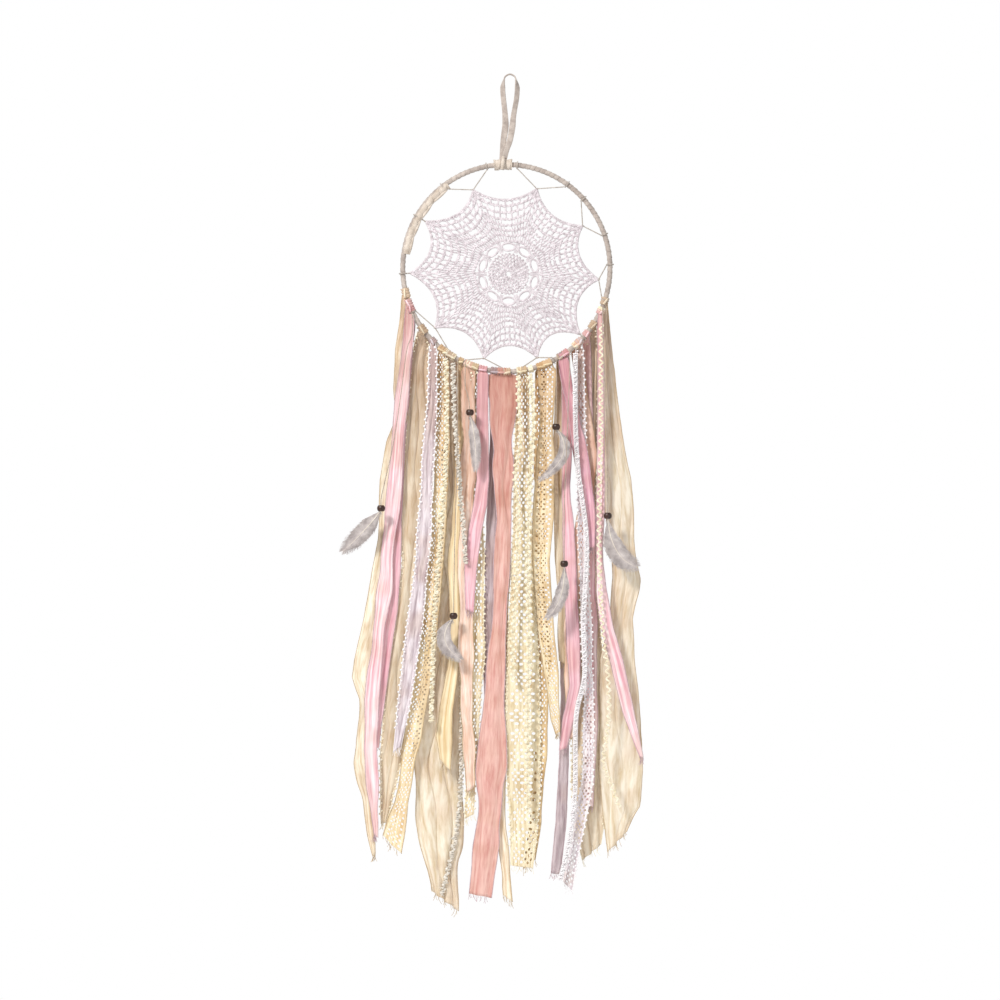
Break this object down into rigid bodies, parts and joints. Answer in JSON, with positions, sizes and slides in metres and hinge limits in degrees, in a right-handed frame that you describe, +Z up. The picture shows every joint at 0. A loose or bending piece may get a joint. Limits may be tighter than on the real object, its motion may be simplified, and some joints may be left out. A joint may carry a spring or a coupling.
{
  "type": "dream catcher",
  "caption": "Boho dream catcher: lace-wrapped hoop on a hanging loop, crocheted doily laced inside, long ribbon and lace fringe, bead-and-feather pendants.",
  "frame": {"origin": "centre of the hook seat, the round inside of the hanging loop's top bend", "axes": "+Z up along the hanging direction, front towards -Y, +Y towards the wall and along the hook's axis, +X to the viewer's right"},
  "size_m": [0.2854, 0.0345, 0.7806],
  "materials": {
    "suede_lace": "matte faux suede, taupe beige",
    "steel_ring": "bare steel ring, hidden under the wrap",
    "crochet_cotton": "crocheted cotton, lilac white",
    "lacing_string": "thin waxed cotton string, grey taupe",
    "cream_cotton": "soft cream cotton and chiffon",
    "pink_satin": "satin ribbon, pale pink with white highlights",
    "rose_satin": "satin ribbon, deep rose",
    "beige_organza": "sheer organza, beige",
    "lilac_crepe": "crinkled crepe, lilac white",
    "gold_lace": "woven cotton lace with eyelets, gold beige",
    "ivory_boucle": "nubby yarn and bobble trim, ivory",
    "grey_boucle": "nubby yarn, warm grey",
    "peach_cotton": "cotton strip, peach",
    "coral_cotton": "cotton strip, coral pink",
    "ivory_lace": "openwork lace, ivory",
    "tan_lace": "cotton lace, tan",
    "mauve_organza": "sheer organza, mauve grey",
    "magenta_satin": "satin ribbon, magenta rose",
    "dark_wood": "turned wooden bead, dark stained and waxed",
    "feather_grey": "soft feather vane, mauve grey",
    "thread": "thin cotton thread, taupe"
  },
  "bodies": {
    "hanger": {"hanging_loop": "suede_lace", "loop_knot": "suede_lace"},
    "hoop": {"hoop_ring": "steel_ring", "hoop_wrap": "suede_lace", "wrap_overlap": "suede_lace", "doily": "crochet_cotton", "lacing": "lacing_string", "ribbon_knots": "cream_cotton"},
    "ribbons_far_left": {"cream_ribbon_far_left": "cream_cotton", "pink_satin_far_left": "pink_satin", "rose_tape_far_left": "rose_satin"},
    "ribbons_left": {"beige_organza_left": "beige_organza", "lilac_crepe_left": "lilac_crepe"},
    "ribbons_inner_left": {"gold_lace_left": "gold_lace", "ivory_boucle_left": "ivory_boucle", "grey_boucle_left": "grey_boucle", "cream_chiffon_left": "cream_cotton", "peach_cotton_left": "peach_cotton", "gold_satin_left": "gold_lace", "cream_lace_left": "ivory_lace", "long_boucle_left": "grey_boucle", "pink_ribbon_centre": "rose_satin"},
    "ribbons_centre": {"coral_cotton_centre": "coral_cotton", "ivory_tape_centre": "cream_cotton", "mauve_organza_centre": "mauve_organza"},
    "ribbons_inner_right": {"slim_bobble_trim": "ivory_boucle", "bobble_trim": "ivory_boucle", "ivory_lace_right": "ivory_lace", "gold_lace_right": "gold_lace", "tan_lace_right": "tan_lace"},
    "ribbons_right": {"beige_ribbon_right": "beige_organza", "magenta_ribbon": "magenta_satin", "rose_ribbon_low": "rose_satin", "mauve_ribbon_right": "mauve_organza", "peach_ribbon_right": "peach_cotton", "crochet_braid": "ivory_lace", "white_lace_right": "crochet_cotton", "blush_ribbon_far_right": "pink_satin", "beige_organza_right": "beige_organza"},
    "ribbons_far_right": {"ric_rac_trim": "ivory_boucle", "cream_organza_right": "beige_organza", "pink_tail_right": "pink_satin"},
    "strand_far_left": {"thread_far_left": "thread"},
    "plume_far_left": {"bead_far_left": "dark_wood", "feather_far_left": "feather_grey"},
    "strand_left_low": {"thread_left_low": "thread"},
    "plume_left_low": {"bead_left_low": "dark_wood", "feather_left_low": "feather_grey"},
    "strand_left_high": {"thread_left_high": "thread"},
    "plume_left_high": {"bead_left_high": "dark_wood", "feather_left_high": "feather_grey"},
    "strand_right_high": {"thread_right_high": "thread"},
    "plume_right_high": {"bead_right_high": "dark_wood", "feather_right_high": "feather_grey"},
    "strand_right_low": {"thread_right_low": "thread"},
    "plume_right_low": {"bead_right_low": "dark_wood", "feather_right_low": "feather_grey"},
    "strand_far_right": {"thread_far_right": "thread"},
    "plume_far_right": {"bead_far_right": "dark_wood", "feather_far_right": "feather_grey"}
  },
  "joints": [
    {"name": "hoop_swing", "type": "hinge", "parent": "hanger", "child": "hoop", "pos_m": [-0.0066, 0, -0.07955], "axis": [1, 0, 0], "range_deg": [-60, 60]},
    {"name": "ribbons_far_left_swing", "type": "hinge", "parent": "hoop", "child": "ribbons_far_left", "pos_m": [-0.095, 0.0036, -0.228], "axis": [1, 0, 0], "range_deg": [0, 45]},
    {"name": "ribbons_left_swing", "type": "hinge", "parent": "hoop", "child": "ribbons_left", "pos_m": [-0.079, 0.005, -0.251], "axis": [1, 0, 0], "range_deg": [0, 45]},
    {"name": "ribbons_inner_left_swing", "type": "hinge", "parent": "hoop", "child": "ribbons_inner_left", "pos_m": [-0.045, 0.008, -0.268], "axis": [1, 0, 0], "range_deg": [0, 45]},
    {"name": "ribbons_centre_swing", "type": "hinge", "parent": "hoop", "child": "ribbons_centre", "pos_m": [-0.009, 0.0036, -0.278], "axis": [1, 0, 0], "range_deg": [0, 45]},
    {"name": "ribbons_inner_right_swing", "type": "hinge", "parent": "hoop", "child": "ribbons_inner_right", "pos_m": [0.021, 0.0036, -0.276], "axis": [1, 0, 0], "range_deg": [0, 45]},
    {"name": "ribbons_right_swing", "type": "hinge", "parent": "hoop", "child": "ribbons_right", "pos_m": [0.064, 0.011, -0.258], "axis": [1, 0, 0], "range_deg": [0, 45]},
    {"name": "ribbons_far_right_swing", "type": "hinge", "parent": "hoop", "child": "ribbons_far_right", "pos_m": [0.087, 0.007, -0.233], "axis": [1, 0, 0], "range_deg": [0, 45]},
    {"name": "strand_far_left_swing", "type": "hinge", "parent": "hoop", "child": "strand_far_left", "pos_m": [-0.092, -0.0046, -0.218], "axis": [1, 0, 0], "range_deg": [-60, 0]},
    {"name": "feather_far_left_twist", "type": "hinge", "parent": "strand_far_left", "child": "plume_far_left", "pos_m": [-0.121, -0.0134, -0.403], "axis": [0, 0, 1], "range_deg": [0, 150]},
    {"name": "strand_left_low_swing", "type": "hinge", "parent": "hoop", "child": "strand_left_low", "pos_m": [-0.049, -0.0046, -0.263], "axis": [1, 0, 0], "range_deg": [-60, 0]},
    {"name": "feather_left_low_twist", "type": "hinge", "parent": "strand_left_low", "child": "plume_left_low", "pos_m": [-0.053, -0.0134, -0.504], "axis": [0, 0, 1], "range_deg": [-60, 60]},
    {"name": "strand_left_high_swing", "type": "hinge", "parent": "hoop", "child": "strand_left_high", "pos_m": [-0.042, -0.0046, -0.266], "axis": [1, 0, 0], "range_deg": [-60, 0]},
    {"name": "feather_left_high_twist", "type": "hinge", "parent": "strand_left_high", "child": "plume_left_high", "pos_m": [-0.0376, -0.0134, -0.313], "axis": [0, 0, 1], "range_deg": [-60, 60]},
    {"name": "strand_right_high_swing", "type": "hinge", "parent": "hoop", "child": "strand_right_high", "pos_m": [0.0436, -0.0046, -0.262], "axis": [1, 0, 0], "range_deg": [-60, 0]},
    {"name": "feather_right_high_twist", "type": "hinge", "parent": "strand_right_high", "child": "plume_right_high", "pos_m": [0.0433, -0.0134, -0.3265], "axis": [0, 0, 1], "range_deg": [0, 60]},
    {"name": "strand_right_low_swing", "type": "hinge", "parent": "hoop", "child": "strand_right_low", "pos_m": [0.056, -0.0046, -0.254], "axis": [1, 0, 0], "range_deg": [-60, 0]},
    {"name": "feather_right_low_twist", "type": "hinge", "parent": "strand_right_low", "child": "plume_right_low", "pos_m": [0.0508, -0.0179, -0.455], "axis": [0, 0, 1], "range_deg": [0, 150]},
    {"name": "strand_far_right_swing", "type": "hinge", "parent": "hoop", "child": "strand_far_right", "pos_m": [0.087, -0.0046, -0.214], "axis": [1, 0, 0], "range_deg": [-60, 0]},
    {"name": "feather_far_right_twist", "type": "hinge", "parent": "strand_far_right", "child": "plume_far_right", "pos_m": [0.0917, -0.0134, -0.41], "axis": [0, 0, 1], "range_deg": [-150, 0]}
  ]
}
